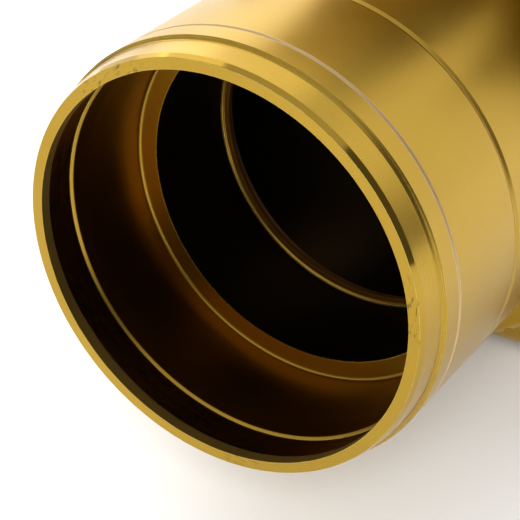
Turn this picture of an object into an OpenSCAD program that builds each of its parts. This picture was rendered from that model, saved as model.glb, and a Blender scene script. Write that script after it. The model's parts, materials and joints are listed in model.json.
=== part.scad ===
// Two inch star diagonal. A barrel pushes into a telescope's focuser, a block holds a flat mirror at
// 45 degrees, and a socket with a brass clamping ring holds an eyepiece at right angles to the barrel.
// +X runs along the barrel and into the block, and +Z up the eyepiece socket. The origin is on the
// barrel's axis, in the plane of the shoulder that stops the barrel in the focuser.

/* [Barrel] */
// Outside diameter of the barrel, which pushes into a 2 inch focuser
barrel_d = 50.8; // [44:0.1:62]
// Length of the barrel from its mouth to the shoulder
barrel_l = 42; // [36:1:60]
// Wall of the barrel in front of its ledge
barrel_wall = 1.95; // [1.7:0.05:3]
// Distance from the mouth to the ledge inside the barrel
ledge_l = 19; // [14:0.5:24]
// How far the shoulder stands out from the barrel all round
shoulder_rise = 4.6; // [3:0.1:8]
// Length of the knurled shoulder
shoulder_l = 8; // [6.5:0.5:14]
// Flutes round the knurled shoulder
shoulder_flutes = 72; // [24:1:90]

/* [End ring] */
// Wall of the end ring's lip at the mouth, from its bore to its turned-down land
lip_wall = 1.55; // [1.2:0.05:2]
// How far the land lies below the barrel's surface
land_drop = 0.75; // [0.3:0.05:0.9]
// Length of the end ring that shows in front of the barrel
land_l = 3.8; // [3:0.1:8]
// Length of the end ring's threaded neck inside the barrel
ring_neck_l = 2.2; // [1.5:0.05:2.4]
// Depth of the lip before the ring's bore widens
lip_l = 1.35; // [0.8:0.05:2]
// Wall of the end ring behind its lip, where the bore is wider
relief_wall = 0.75; // [0.6:0.05:1]

/* [Port ring] */
// Wall of the threaded tube that joins the barrel to the block
port_wall = 2.5; // [1.5:0.1:4]
// How far the port ring reaches into the barrel from the shoulder plane
port_reach = 9; // [6:0.5:11]
// How deep the port ring is screwed into the block
port_thread_l = 6; // [4:0.5:9]
// Width of the glare stop, which is pressed into the port ring's front end
stop_lip = 0.95; // [0.5:0.05:3]
// Thickness of the glare stop
stop_t = 2; // [1.2:0.1:4]

/* [Mirror] */
// Thickness of the mirror glass
glass_t = 8; // [5:0.5:12]
// How far the glass reaches past the light path, all round
glass_ledge = 3; // [2:0.5:6]
// Thickness of the gasket in front of the glass
gasket_t = 0.5; // [0.3:0.1:1.5]
// Thickness of the three bonding pads behind the glass
pad_t = 0.5; // [0.3:0.1:1.5]
// Diameter of a bonding pad
pad_d = 12; // [6:1:16]
// Thickness of the tray that the glass is bonded to
tray_t = 2; // [1:0.5:4]
// Space that the tray can tilt in, in front of the back plate
tilt_gap = 0.5; // [0.3:0.1:2]

/* [Block] */
// Wall beyond the two ends of the mirror
end_wall = 3.9; // [3:0.1:12]
// Wall on each side of the mirror
side_wall = 8.5; // [7:0.5:14]
// Radius of the block's corners
corner_r = 3; // [1:0.5:5]
// Thickness of a side cover, which lies flush in the block
cover_t = 1.6; // [1:0.1:2.5]
// Distance from the block's outline to a side cover
cover_inset = 4.5; // [3:0.5:8]
// Thickness of the back plate behind the mirror
plate_t = 5; // [4.2:0.2:9]

/* [Eyepiece socket] */
// Bore for the eyepiece's barrel
socket_bore_d = 50.9; // [44:0.1:62]
// Wall of the socket
socket_wall = 4.55; // [4:0.05:8]
// Depth of the bore
socket_depth = 30; // [25:1:45]
// Height of the socket below its bore
socket_foot_h = 6; // [5:0.5:10]
// Wall of the threaded neck that joins the socket to the block
neck_wall = 2.4; // [1.5:0.1:4]
// Height of the brass clamping ring
clamp_ring_h = 5.6; // [4.5:0.1:9]
// Thickness of the brass clamping ring
clamp_ring_t = 1.1; // [0.8:0.05:1.8]
// Gap in the clamping ring
clamp_ring_gap = 4; // [2:0.5:12]

/* [Clamp screws] */
// Thread diameter
screw_d = 4; // [3:0.5:5]
// Diameter of the knurled knob
knob_d = 12.6; // [9:0.2:18]
// Length of the knurled part of the knob
knob_l = 9; // [6:0.5:16]
// Flutes round the knob
knob_flutes = 30; // [12:1:40]

/* [Hidden] */
$fn = 96;
cut = 0.1;               // how far a cutter runs past the face it cuts
fit_gap = 0.02;          // radial clearance of a screwed or pressed joint
slip_gap = 0.05;         // clearance of a piece that slides or drops in
edge = 0.12;             // turned edges are broken by this much
deep_edge = 0.3;         // and the port ring's ends by this much

// Barrel, in distances from its axis and from its mouth
barrel_r = barrel_d / 2;
bore_r = barrel_r - barrel_wall;
shoulder_r = barrel_r + shoulder_rise;
flute_r = 0.75;
flute_depth = 0.45;
front_groove_l = 6.8;    // centre of the fine groove near the mouth
front_groove_w = 0.5;
rear_groove_l = 20.3;    // centre of the wider groove half way along
rear_groove_w = 1.0;
groove_depth = 0.16;
throat_chamfer = 0.3;    // the bore starts behind the end ring with this chamfer
throat_rise = 0.15;      // and narrows by this much on the radius
throat_end_l = 8.9;      // to here
ledge_fillet_r = 0.45;

// End ring
land_r = barrel_r - land_drop;
mouth_r = land_r - lip_wall;
bevel_l = 0.7;
bevel_rise = 0.26;
land_rise = 0.3;         // the land widens by this much on the radius, up to its cove
cove_r = 0.5;
lip_relief = lip_wall - relief_wall;
ring_bore_r = mouth_r + lip_relief;
neck_share = 0.42;       // the ring's neck takes this share of the wall, and the barrel the rest
ring_neck_r = ring_bore_r + neck_share * (barrel_r - ring_bore_r);
neck_end_gap = 0.1;      // behind the neck, so that the ring seats on the barrel's front face

// Port ring and glare stop
port_r = bore_r - fit_gap;
port_bore_r = port_r - port_wall;
clear_r = port_bore_r - stop_lip;
stop_chamfer = 0.25;
stop_edge_t = 0.6;       // thickness of the stop where it meets the light

// Mirror and block. The mirror's front face passes through [mirror_x, 0, 0] at 45 degrees.
path_r = port_bore_r + 0.1;
glass_w = 2 * (path_r + glass_ledge);
glass_l = 2 * (path_r * sqrt(2) + glass_ledge / sqrt(2));
pocket_gap = 0.5;
back_depth = glass_t + pad_t + tray_t + tilt_gap;
block_half = (glass_l / 2 + pocket_gap + end_wall + back_depth) / sqrt(2);
block_w = glass_w + 2 * (pocket_gap + side_wall);
mirror_x = shoulder_l + block_half;
plate_half_l = block_half * sqrt(2) - back_depth - 1.5;
plate_half_w = block_w / 2 - 0.6;
neck_bore_r = path_r + 0.5;
neck_r = neck_bore_r + neck_wall;
neck_thread_l = 6;
cover_screw_inset = cover_inset + 4.5;

// Eyepiece socket, in heights above the block's top face
socket_bore_r = socket_bore_d / 2;
socket_r = max(socket_bore_r, neck_r) + socket_wall;
foot_r = socket_r + 1.6;
foot_h = 4;
socket_h = socket_foot_h + socket_depth;
stop_r = min(socket_bore_r - 2.5, neck_bore_r + 0.4);
mouth_chamfer = 0.8;
clamp_z = socket_h - 9;  // middle of the clamping ring
ring_groove_r = socket_bore_r + clamp_ring_t + slip_gap;

// Screws: head and thread sizes of M3 and M2.5, and of the M3 and M4 grub screws
cap_head_r = 2.75;
cap_head_h = 3;
cap_thread_r = 1.5;
cap_reach = 6;
csk_head_r = 2.3;
csk_thread_r = 1.25;
csk_l = 5;
grub_r = 1.5;
set_screw_r = 2;
hex_across = [0.87, 1.15, 1.45]; // corner radius of the hexagon sockets: grub, tray set screw, cap

// Clamp screws: two of them, at these angles round the socket from +X
clamp_angles = [60, -60];
screw_r = screw_d / 2;
tip_r = ring_groove_r;               // the tip stands where the ring's groove ends
knob_start = socket_r + 1.2;         // the knob's collar starts this far out
collar_l = 2.2;
collar_r = screw_r + 2.6;
screw_grip = knob_l - 2.5;           // how far the thread reaches into the knob
knob_r = knob_d / 2;

function unit(v) = v / norm(v);
// Points of the arc that rounds corner p of an outline between its neighbours a and b
function corner(p, a, b, r, n) =
    let (
        u = unit(a - p), v = unit(b - p), half = acos(u * v) / 2,
        c = p + unit(u + v) * r / sin(half),
        s = p + u * r / tan(half) - c, e = p + v * r / tan(half) - c,
        from = atan2(s[1], s[0]), turn = (atan2(e[1], e[0]) - from + 540) % 360 - 180
    ) [for (i = [0:n]) c + r * [cos(from + turn * i / n), sin(from + turn * i / n)]];
function rounded(p, r, n = 5) =
    let (k = len(p))
    [for (i = [0:k - 1]) each corner(p[i], p[(i + k - 1) % k], p[(i + 1) % k], r, n)];
// Outline of the block in the XZ plane, drawn in by inset
function block_outline(inset) =
    let (h = block_half - inset, slope = (back_depth - inset) * sqrt(2))
    [
        [mirror_x - h, -h], [mirror_x - h + slope, -h], [mirror_x + h, h - slope],
        [mirror_x + h, h], [mirror_x - h, h]
    ];
// Where the cover screws go: three corners and the middle of the slope
function cover_screw_places() =
    let (p = block_outline(cover_screw_inset)) [p[0], (p[1] + p[2]) / 2, p[3], p[4]];

// Stands a turned profile, drawn from the mouth, on the barrel's axis
module from_mouth() { translate([-barrel_l, 0, 0]) rotate([0, 90, 0]) children(); }
module along_x(x) { translate([x, 0, 0]) rotate([0, 90, 0]) children(); }
// Puts things on the mirror's face: local X runs up the slope and local Z out towards the light
module on_mirror() { translate([mirror_x, 0, 0]) rotate([0, -45, 0]) children(); }
module on_block_top() { translate([mirror_x, 0, block_half]) children(); }
module ring(r_out, r_in, h) {
    difference() {
        cylinder(r = r_out, h = h);
        translate([0, 0, -cut]) cylinder(r = r_in, h = h + 2 * cut);
    }
}
module centred_plate(l, w, h) { translate([-l / 2, -w / 2, 0]) cube([l, w, h]); }
module hex_socket(r, depth) { translate([0, 0, -depth]) cylinder(r = r, h = depth + cut, $fn = 6); }
module flutes(n, r, l) {
    for (i = [0:n - 1])
        rotate(360 * (i + 0.5) / n) translate([r + flute_r - flute_depth, 0, -cut])
            cylinder(r = flute_r, h = l + 2 * cut, $fn = 16);
}

// Turned end ring with the bevelled rim, a land below the barrel's surface and a threaded neck
module end_ring() {
    step_r = barrel_r - 0.16;
    land_end_r = land_r + min(land_rise, 0.6 * (step_r - land_r));
    sweep = acos(1 - (step_r - land_end_r) / cove_r);
    cove_start = land_l - cove_r * sin(sweep);
    ring_end = land_l + ring_neck_l;
    color("goldenrod") from_mouth() rotate_extrude() polygon(concat(
        [
            [mouth_r, edge], [mouth_r + edge, 0], [land_r - bevel_rise, 0], [land_r, bevel_l]
        ],
        [
            for (i = [0:6]) let (a = sweep * i / 6)
                [land_end_r + cove_r * (1 - cos(a)), cove_start + cove_r * sin(a)]
        ],
        [
            [ring_neck_r - fit_gap, land_l], [ring_neck_r - fit_gap, ring_end - edge],
            [ring_neck_r - fit_gap - edge, ring_end], [ring_bore_r + edge, ring_end],
            [ring_bore_r, ring_end - edge], [ring_bore_r, lip_l + lip_relief], [mouth_r, lip_l]
        ]
    ));
}

// Barrel: a tube with two fine grooves outside, a ledge inside and a knurled shoulder that stops it
module barrel() {
    function groove(l, w) = [
        [barrel_r, l - w / 2], [barrel_r - groove_depth, l], [barrel_r, l + w / 2]
    ];
    seat = barrel_l;
    rear = barrel_l + shoulder_l;
    chamfer = 0.6;
    port_seat = barrel_l - port_reach - slip_gap;
    ledge_r = port_bore_r + fit_gap;
    throat_l = land_l + ring_neck_l + neck_end_gap;
    throat_r = bore_r + throat_rise;
    color("goldenrod") difference() {
        from_mouth() rotate_extrude() polygon(concat(
            [[ring_neck_r, land_l], [barrel_r - 0.16, land_l], [barrel_r, land_l + 0.16]],
            groove(front_groove_l, front_groove_w),
            groove(rear_groove_l, rear_groove_w),
            [
                [barrel_r, seat], [shoulder_r - chamfer, seat], [shoulder_r, seat + chamfer],
                [shoulder_r, rear - chamfer], [shoulder_r - chamfer, rear],
                [bore_r, rear], [bore_r, port_seat], [ledge_r, port_seat],
                [ledge_r, ledge_l + edge / 2], [ledge_r + edge / 2, ledge_l]
            ],
            [
                for (i = [0:4]) let (a = 90 * i / 4)
                    [
                        bore_r - ledge_fillet_r * (1 - sin(a)),
                        ledge_l - ledge_fillet_r * (1 - cos(a))
                    ]
            ],
            [
                [bore_r, throat_end_l], [throat_r, throat_l + throat_chamfer],
                [throat_r + throat_chamfer, throat_l], [ring_neck_r, throat_l]
            ]
        ));
        along_x(0) flutes(shoulder_flutes, shoulder_r, shoulder_l);
        grub_places() translate([0, 0, bore_r - cut])
            cylinder(r = grub_r + fit_gap, h = shoulder_r, $fn = 32);
    }
}

// Threaded tube that carries the barrel on the block
module port_ring() {
    x0 = -port_reach;
    l = port_reach + shoulder_l + port_thread_l;
    c = deep_edge;
    color("goldenrod") along_x(x0) rotate_extrude() polygon([
        [port_bore_r, c / 2], [port_bore_r + c / 2, 0], [port_r - c, 0], [port_r, c],
        [port_r, l - c], [port_r - c, l], [port_bore_r, l]
    ]);
}

// Stop ring pressed into the port ring's front end, with a dished face. It sets the clear aperture.
module glare_stop() {
    rim_r = port_bore_r - fit_gap;
    relief = min(stop_t - stop_chamfer - stop_edge_t, stop_lip - 0.3);
    color("goldenrod") along_x(-port_reach) rotate_extrude() polygon([
        [clear_r, stop_chamfer], [rim_r - stop_chamfer, stop_chamfer], [rim_r, 0],
        [rim_r, stop_t], [clear_r + relief, stop_t], [clear_r, stop_t - relief]
    ]);
}

module grub_places() {
    for (a = [90, 270]) translate([shoulder_l / 2, 0, 0]) rotate([a, 0, 0]) children();
}
// Two grub screws in the shoulder that lock the barrel on the port ring
module barrel_grub_screws() {
    l = barrel_wall + shoulder_rise - 1.5;
    color("dimgray") grub_places() translate([0, 0, port_r + fit_gap]) difference() {
        cylinder(r = grub_r, h = l, $fn = 32);
        translate([0, 0, l]) hex_socket(hex_across[0], 1.5);
    }
}

// The two bores of the light path, which meet at the mirror
module light_path(extra = 0) {
    along_x(shoulder_l + cut) cylinder(r = path_r + extra, h = block_half + path_r);
    translate([mirror_x, 0, -path_r]) cylinder(r = path_r + extra, h = block_half + path_r + cut);
}
module block_prism(inset, w, y) {
    translate([0, y + w / 2, 0]) rotate([90, 0, 0])
        linear_extrude(height = w) polygon(rounded(block_outline(inset), corner_r));
}
module cover_screw_axes(side) {
    for (p = cover_screw_places())
        translate([p[0], side * block_w / 2, p[1]]) rotate([side * -90, 0, 0]) children();
}
module plate_screw_axes() {
    screw_y = (glass_w / 2 + pocket_gap + block_w / 2 - cover_t) / 2;
    for (sx = [-1, 1]) for (sy = [-1, 1])
        translate([sx * (plate_half_l - 5), sy * screw_y, -back_depth]) children();
}

// Block machined from solid, with the light path, the mirror's pocket and shallow side recesses
module block() {
    pocket_l = glass_l + 2 * pocket_gap;
    pocket_w = glass_w + 2 * pocket_gap;
    color("dimgray") difference() {
        block_prism(0, block_w, 0);
        light_path();
        along_x(shoulder_l - cut) cylinder(r = bore_r, h = port_thread_l + slip_gap + cut);
        on_block_top() translate([0, 0, -neck_thread_l - slip_gap])
            cylinder(r = neck_r + fit_gap, h = neck_thread_l + slip_gap + cut);
        on_mirror() translate([0, 0, -back_depth - 20])
            centred_plate(pocket_l, pocket_w, back_depth + 20 + gasket_t);
        for (side = [-1, 1]) {
            block_prism(cover_inset, 2 * cover_t, side * block_w / 2);
            cover_screw_axes(side) translate([0, 0, -csk_l - 1])
                cylinder(r = csk_thread_r + fit_gap, h = csk_l, $fn = 32);
        }
        on_mirror() plate_screw_axes() translate([0, 0, -cut])
            cylinder(r = cap_thread_r + fit_gap, h = cap_reach + 1, $fn = 32);
    }
}

module side_cover(side) {
    color("black") difference() {
        block_prism(cover_inset + slip_gap, cover_t, side * (block_w - cover_t) / 2);
        cover_screw_axes(side) rotate_extrude($fn = 48) polygon([
            [0, cut], [csk_head_r + slip_gap + cut, cut], [csk_thread_r + 0.2, -1.1],
            [csk_thread_r + 0.2, -3], [0, -3]
        ]);
    }
}
module side_cover_left() { side_cover(1); }
module side_cover_right() { side_cover(-1); }

module cover_screws(side) {
    color("silver") cover_screw_axes(side) difference() {
        rotate_extrude($fn = 48) polygon([
            [0, 0], [csk_head_r, 0], [csk_thread_r, csk_thread_r - csk_head_r],
            [csk_thread_r, -csk_l], [0, -csk_l]
        ]);
        hex_socket(hex_across[0], 1);
    }
}
module cover_screws_left() { cover_screws(1); }
module cover_screws_right() { cover_screws(-1); }

// Soft frame between the glass and the ledge round the light path
module mirror_gasket() {
    color("darkslategray") difference() {
        on_mirror() centred_plate(glass_l, glass_w, gasket_t);
        light_path(0.4);
    }
}
module mirror_glass() {
    color("lightblue") on_mirror() translate([0, 0, -glass_t]) centred_plate(glass_l, glass_w, glass_t);
}
// The pads and the set screws stand on the same triangle
module three_points() {
    for (i = [0:2]) rotate(120 * i) translate([glass_w / 2 - pad_d / 2 - 2, 0, 0]) children();
}
module mirror_pads() {
    color("white") on_mirror() three_points() translate([0, 0, -glass_t - pad_t])
        cylinder(r = pad_d / 2, h = pad_t);
}
module mirror_tray() {
    color("silver") on_mirror() translate([0, 0, -glass_t - pad_t - tray_t])
        centred_plate(glass_l - 2, glass_w - 2, tray_t);
}
// Three set screws in the back plate that press the tray square, and are then locked
module tray_set_screws() {
    l = tilt_gap + plate_t - 1;
    color("dimgray") on_mirror() three_points() translate([0, 0, -back_depth + tilt_gap]) difference() {
        translate([0, 0, -l]) cylinder(r = set_screw_r, h = l, $fn = 32);
        translate([0, 0, -l]) mirror([0, 0, 1]) hex_socket(hex_across[1], 2);
    }
}
module back_plate() {
    outline = rounded([
        [-plate_half_l, -plate_half_w], [plate_half_l, -plate_half_w],
        [plate_half_l, plate_half_w], [-plate_half_l, plate_half_w]
    ], corner_r);
    color("goldenrod") on_mirror() difference() {
        translate([0, 0, -back_depth - plate_t]) linear_extrude(height = plate_t) polygon(outline);
        three_points() translate([0, 0, -back_depth - plate_t - cut])
            cylinder(r = set_screw_r + fit_gap, h = plate_t + 2 * cut, $fn = 32);
        plate_screw_axes() translate([0, 0, -plate_t - cut]) {
            cylinder(r = cap_thread_r + 0.2, h = plate_t + 2 * cut, $fn = 32);
            cylinder(r = cap_head_r + 0.15, h = cap_head_h + 0.3 + cut, $fn = 48);
        }
    }
}
module back_plate_screws() {
    color("silver") on_mirror() plate_screw_axes() difference() {
        union() {
            translate([0, 0, -plate_t + 0.3]) cylinder(r = cap_head_r, h = cap_head_h, $fn = 48);
            translate([0, 0, -plate_t + 0.3 + cap_head_h])
                cylinder(r = cap_thread_r, h = plate_t - 0.3 - cap_head_h + cap_reach, $fn = 32);
        }
        translate([0, 0, -plate_t + 0.3]) mirror([0, 0, 1]) hex_socket(hex_across[2], 1.6);
    }
}

// Threaded neck between the block and the socket
module socket_neck() {
    color("goldenrod") on_block_top() translate([0, 0, -neck_thread_l])
        ring(neck_r, neck_bore_r, neck_thread_l + socket_foot_h - 1.5 - slip_gap);
}
// Eyepiece socket: a foot, a stop for the eyepiece's barrel, and a groove for the clamping ring
module eyepiece_socket() {
    groove_z = [clamp_z - clamp_ring_h / 2 - slip_gap, clamp_z + clamp_ring_h / 2 + slip_gap];
    inner_foot = socket_foot_h - 1.5;
    line_depth = 0.2;
    module band_line(z) {
        translate([0, 0, z]) rotate_extrude() polygon([
            [socket_r - line_depth, 0], [socket_r + cut, -line_depth - cut],
            [socket_r + cut, line_depth + cut]
        ]);
    }
    color("goldenrod") on_block_top() difference() {
        rotate_extrude() polygon([
            [neck_r + fit_gap, 0], [foot_r - 0.4, 0], [foot_r, 0.4], [foot_r, foot_h - 0.6],
            [foot_r - 0.6, foot_h], [socket_r, foot_h], [socket_r, socket_h - 1.2],
            [socket_r - 1.2, socket_h], [socket_bore_r + mouth_chamfer, socket_h],
            [socket_bore_r, socket_h - mouth_chamfer],
            [socket_bore_r, groove_z[1]], [ring_groove_r, groove_z[1]],
            [ring_groove_r, groove_z[0]], [socket_bore_r, groove_z[0]],
            [socket_bore_r, socket_foot_h], [stop_r, socket_foot_h], [stop_r, inner_foot],
            [neck_r + fit_gap, inner_foot]
        ]);
        band_line(clamp_z - 7);
        band_line(foot_h + 3.5);
        clamp_axes() translate([0, 0, socket_bore_r])
            cylinder(r = screw_r + slip_gap, h = foot_r, $fn = 48);
        socket_grub_axes() cylinder(r = grub_r + fit_gap, h = foot_r, $fn = 32);
    }
}
// Places things on each clamp screw's axis, with local Z outwards from the socket's axis
module clamp_axis(angle) { translate([0, 0, clamp_z]) rotate([0, 90, angle]) children(); }
module clamp_axes() { for (a = clamp_angles) clamp_axis(a) children(); }
module socket_grub_axes() {
    for (i = [0:2]) translate([0, 0, foot_h / 2]) rotate([0, 90, 120 * i]) translate([0, 0, neck_r])
        children();
}
module socket_grub_screws() {
    l = foot_r - neck_r - fit_gap - 1;
    color("dimgray") on_block_top() socket_grub_axes() translate([0, 0, fit_gap]) difference() {
        cylinder(r = grub_r, h = l, $fn = 32);
        translate([0, 0, l]) hex_socket(hex_across[0], 1.5);
    }
}
// Split brass ring that the clamp screws press on the eyepiece's barrel
module clamp_ring() {
    color("gold") on_block_top() translate([0, 0, clamp_z - clamp_ring_h / 2]) difference() {
        ring(socket_bore_r + clamp_ring_t, socket_bore_r, clamp_ring_h);
        rotate(180) translate([0, -clamp_ring_gap / 2, -cut])
            cube([ring_groove_r + 1, clamp_ring_gap, clamp_ring_h + 2 * cut]);
    }
}

// Threaded stud of a clamp screw, which travels in and out through the socket's wall
module clamp_screw(n) {
    l = knob_start + collar_l + screw_grip - tip_r;
    color("dimgray") on_block_top() clamp_axis(clamp_angles[n]) translate([0, 0, tip_r])
        rotate_extrude($fn = 48) polygon([
            [0, 0], [screw_r - 0.5, 0], [screw_r, 0.5], [screw_r, l - 0.3], [screw_r - 0.3, l], [0, l]
        ]);
}
// Knurled knob of a clamp screw, which turns round the stud's axis
module clamp_knob(n) {
    knob_end = collar_l + knob_l;
    hole_l = collar_l + screw_grip + slip_gap;
    color("black") on_block_top() clamp_axis(clamp_angles[n]) translate([0, 0, knob_start]) difference() {
        rotate_extrude($fn = 64) polygon([
            [screw_r + slip_gap, 0], [collar_r - 0.3, 0], [collar_r, 0.3], [collar_r, collar_l],
            [knob_r - 0.5, collar_l], [knob_r, collar_l + 0.5], [knob_r, knob_end - 0.9],
            [knob_r - 0.9, knob_end], [0, knob_end], [0, hole_l], [screw_r + slip_gap, hole_l]
        ]);
        translate([0, 0, collar_l]) flutes(knob_flutes, knob_r, knob_l);
    }
}
module clamp_screw_1() { clamp_screw(0); }
module clamp_screw_2() { clamp_screw(1); }
module clamp_knob_1() { clamp_knob(0); }
module clamp_knob_2() { clamp_knob(1); }

end_ring();
barrel();
port_ring();
glare_stop();
barrel_grub_screws();
block();
side_cover_left();
side_cover_right();
cover_screws_left();
cover_screws_right();
mirror_gasket();
mirror_glass();
mirror_pads();
mirror_tray();
tray_set_screws();
back_plate();
back_plate_screws();
socket_neck();
eyepiece_socket();
clamp_ring();
socket_grub_screws();
clamp_screw_1();
clamp_knob_1();
clamp_screw_2();
clamp_knob_2();
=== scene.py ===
# %% [markdown]
# # A two inch star diagonal
# A star diagonal turns the light of a telescope through a right angle. Its barrel slides into the
# focuser, a block holds a flat mirror at 45 degrees, and a socket with a brass clamping ring holds
# the eyepiece. The frame is the machined assembly: it fixes every place and size. This script
# remakes the pieces that are seen closely as fine surfaces, and gives each piece its finish.

# %% Load the frame
import json
import bmesh
import bpy
import numpy as np
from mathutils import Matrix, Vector

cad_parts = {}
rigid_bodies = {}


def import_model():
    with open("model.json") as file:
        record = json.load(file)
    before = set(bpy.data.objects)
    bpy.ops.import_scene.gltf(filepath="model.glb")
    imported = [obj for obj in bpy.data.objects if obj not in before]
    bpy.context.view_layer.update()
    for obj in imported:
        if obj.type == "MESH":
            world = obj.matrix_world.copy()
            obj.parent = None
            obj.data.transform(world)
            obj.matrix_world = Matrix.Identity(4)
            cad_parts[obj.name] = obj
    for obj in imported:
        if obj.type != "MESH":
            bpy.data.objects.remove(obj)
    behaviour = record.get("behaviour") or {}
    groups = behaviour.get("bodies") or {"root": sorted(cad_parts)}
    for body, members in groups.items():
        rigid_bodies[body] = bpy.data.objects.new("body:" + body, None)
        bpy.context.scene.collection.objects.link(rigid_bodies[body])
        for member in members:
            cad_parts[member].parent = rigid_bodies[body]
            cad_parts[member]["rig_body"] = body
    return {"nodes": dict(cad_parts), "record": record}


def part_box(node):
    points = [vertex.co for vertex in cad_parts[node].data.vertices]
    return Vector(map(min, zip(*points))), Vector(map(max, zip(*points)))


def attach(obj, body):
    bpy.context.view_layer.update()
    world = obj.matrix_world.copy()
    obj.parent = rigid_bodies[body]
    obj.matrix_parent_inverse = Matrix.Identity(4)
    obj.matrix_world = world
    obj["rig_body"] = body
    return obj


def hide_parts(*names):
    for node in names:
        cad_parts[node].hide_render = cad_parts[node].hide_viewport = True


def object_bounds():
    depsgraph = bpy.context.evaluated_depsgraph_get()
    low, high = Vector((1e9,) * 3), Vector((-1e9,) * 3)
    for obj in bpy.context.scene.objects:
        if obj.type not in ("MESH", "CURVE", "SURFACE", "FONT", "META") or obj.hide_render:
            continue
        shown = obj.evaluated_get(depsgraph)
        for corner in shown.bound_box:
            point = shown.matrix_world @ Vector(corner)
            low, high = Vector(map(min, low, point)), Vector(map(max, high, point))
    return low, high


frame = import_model()
cad_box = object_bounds()
mm = 0.001
print("machined assembly, mm:", [round((b - a) / mm, 1) for a, b in zip(*cad_box)])

# %% [markdown]
# Every size comes from the frame. A turned piece is known by its distances along an axis and from
# it, so one helper measures both for a node's vertices. The barrel's axis is X. The socket's axis
# is vertical, through the eyepiece bore's mount. Screwed joints have a small clearance, the fit,
# and pieces that drop in or slide have a larger one, the slip.

# %% Axes and measured sizes
mounts = {m["name"]: m for m in frame["record"]["mounts"]}
fit = 0.02 * mm
slip = 0.05 * mm
socket_foot = Vector(mounts["eyepiece_bore"]["pos_m"])
ALONG_BARREL = (np.zeros(3), np.array([1.0, 0, 0]), np.array([0, 1.0, 0]))
UP_SOCKET = (np.array([socket_foot.x, 0, 0]), np.array([0, 0, 1.0]), np.array([1.0, 0, 0]))


def places(node):
    """The node's vertices as an array of rows, each x, y and z."""
    mesh = frame["nodes"][node].data
    points = np.empty(len(mesh.vertices) * 3, np.float32)
    mesh.vertices.foreach_get("co", points)
    return points.reshape(-1, 3).astype(float)


def spans(node, axis):
    """Lowest and highest distance along the axis, then the nearest and farthest from it."""
    from_origin = places(node) - axis[0]
    height = from_origin @ axis[1]
    radius = np.linalg.norm(from_origin - height[:, None] * axis[1], axis=1)
    return height.min(), height.max(), radius.min(), radius.max()


def solids(node):
    """The node's separate solids, each as rows of its points. Every point starts with its own number,
    and the lowest number spreads along the edges until each solid holds one number."""
    points = places(node)
    _, same = np.unique(np.round(points / (0.001 * mm)).astype(int), axis=0, return_inverse=True)
    same = same.reshape(-1)
    mesh = frame["nodes"][node].data
    ends = np.empty(len(mesh.edges) * 2, np.int32)
    mesh.edges.foreach_get("vertices", ends)
    pairs = same[ends].reshape(-1, 2)
    label, before = np.arange(same.max() + 1), None
    while before is None or (label != before).any():
        before = label.copy()
        low = label[pairs].min(axis=1)
        np.minimum.at(label, pairs[:, 0], low)
        np.minimum.at(label, pairs[:, 1], low)
    return [points[label[same] == k] for k in np.unique(label)]


mouth_x, ring_end_x, mouth_r, step_r = spans("end_ring", ALONG_BARREL)
barrel_r = mounts["nosepiece"]["dims"]["r_mm"] * mm
print("mouth at", round(mouth_x / mm, 2), "mm, bore radius there", round(mouth_r / mm, 2), "mm")

# %% [markdown]
# A lathe leaves no perfectly sharp corner: each edge is broken by a tenth of a millimetre or so, and
# that small round is what catches the light. So an outline starts as its corners, and each
# corner becomes an arc. A resting point on both sides of each arc keeps the flats flat when the
# surface is shaded smooth. Marking the arcs lets a finish wear them later.

# %% Rounded outlines


def unit(v):
    """Each row divided by its length."""
    return v / np.linalg.norm(v, axis=-1, keepdims=True)


def rounded(corners, radius, steps=3, rest=0.07 * mm):
    """Rounds each corner of a closed outline. The arc's centre lies on the corner's bisector, at
    radius / sin(half the corner's angle), and the arc meets both sides at radius / tan(half).
    Gives the points and, for each, 1 on an arc and 0 on a flat."""
    p = np.asarray(corners, float)
    to_last, to_next = np.roll(p, 1, 0) - p, np.roll(p, -1, 0) - p
    room = np.minimum(np.linalg.norm(to_last, axis=1), np.linalg.norm(to_next, axis=1))[:, None]
    u, v = unit(to_last), unit(to_next)
    half = np.arccos(np.clip((u * v).sum(1, keepdims=True), -1, 1 - 1e-9)) / 2
    half = np.minimum(half, np.pi / 2 - 1e-4)
    r = np.minimum(np.reshape(radius, (-1, 1)), 0.4 * room * np.tan(half))
    cut = r / np.tan(half)
    centre = p + unit(u + v) * r / np.sin(half)
    start, end, sweep = p + u * cut - centre, p + v * cut - centre, np.pi - 2 * half
    w = np.linspace(0, 1, steps + 1)[None, :, None]
    turn_by = sweep[:, :, None]
    arc = np.sin((1 - w) * turn_by) * start[:, None] + np.sin(w * turn_by) * end[:, None]
    arc = centre[:, None] + arc / np.sin(turn_by)
    off = cut + np.minimum(rest, 0.15 * room)
    points = np.concatenate([(p + u * off)[:, None], arc, (p + v * off)[:, None]], 1)
    on_arc = np.zeros(points.shape[:2])
    on_arc[:, 1:-1] = sweep > np.radians(20)
    return points.reshape(-1, 2), on_arc.reshape(-1)


# %% [markdown]
# A turned piece is its outline carried once round the axis. The outline is a closed loop, so
# the surface is a ring with an inside and an outside and no seam. A knurl is the same surface with
# its radius cut back at each flute. The shoulder and the knobs were fluted with the same cutter.

# %% Outlines carried round an axis
flute_r = 0.75 * mm
flute_depth = 0.45 * mm


def stand(height, across, up, axis):
    """Places distances along the axis and across it in two directions: origin + height * axis +
    across * side + up * (axis x side)."""
    origin, along, side = axis
    other = np.cross(along, side)
    h, a, b = np.broadcast_arrays(height, across, up)
    return origin + h[..., None] * along + a[..., None] * side + b[..., None] * other


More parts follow.
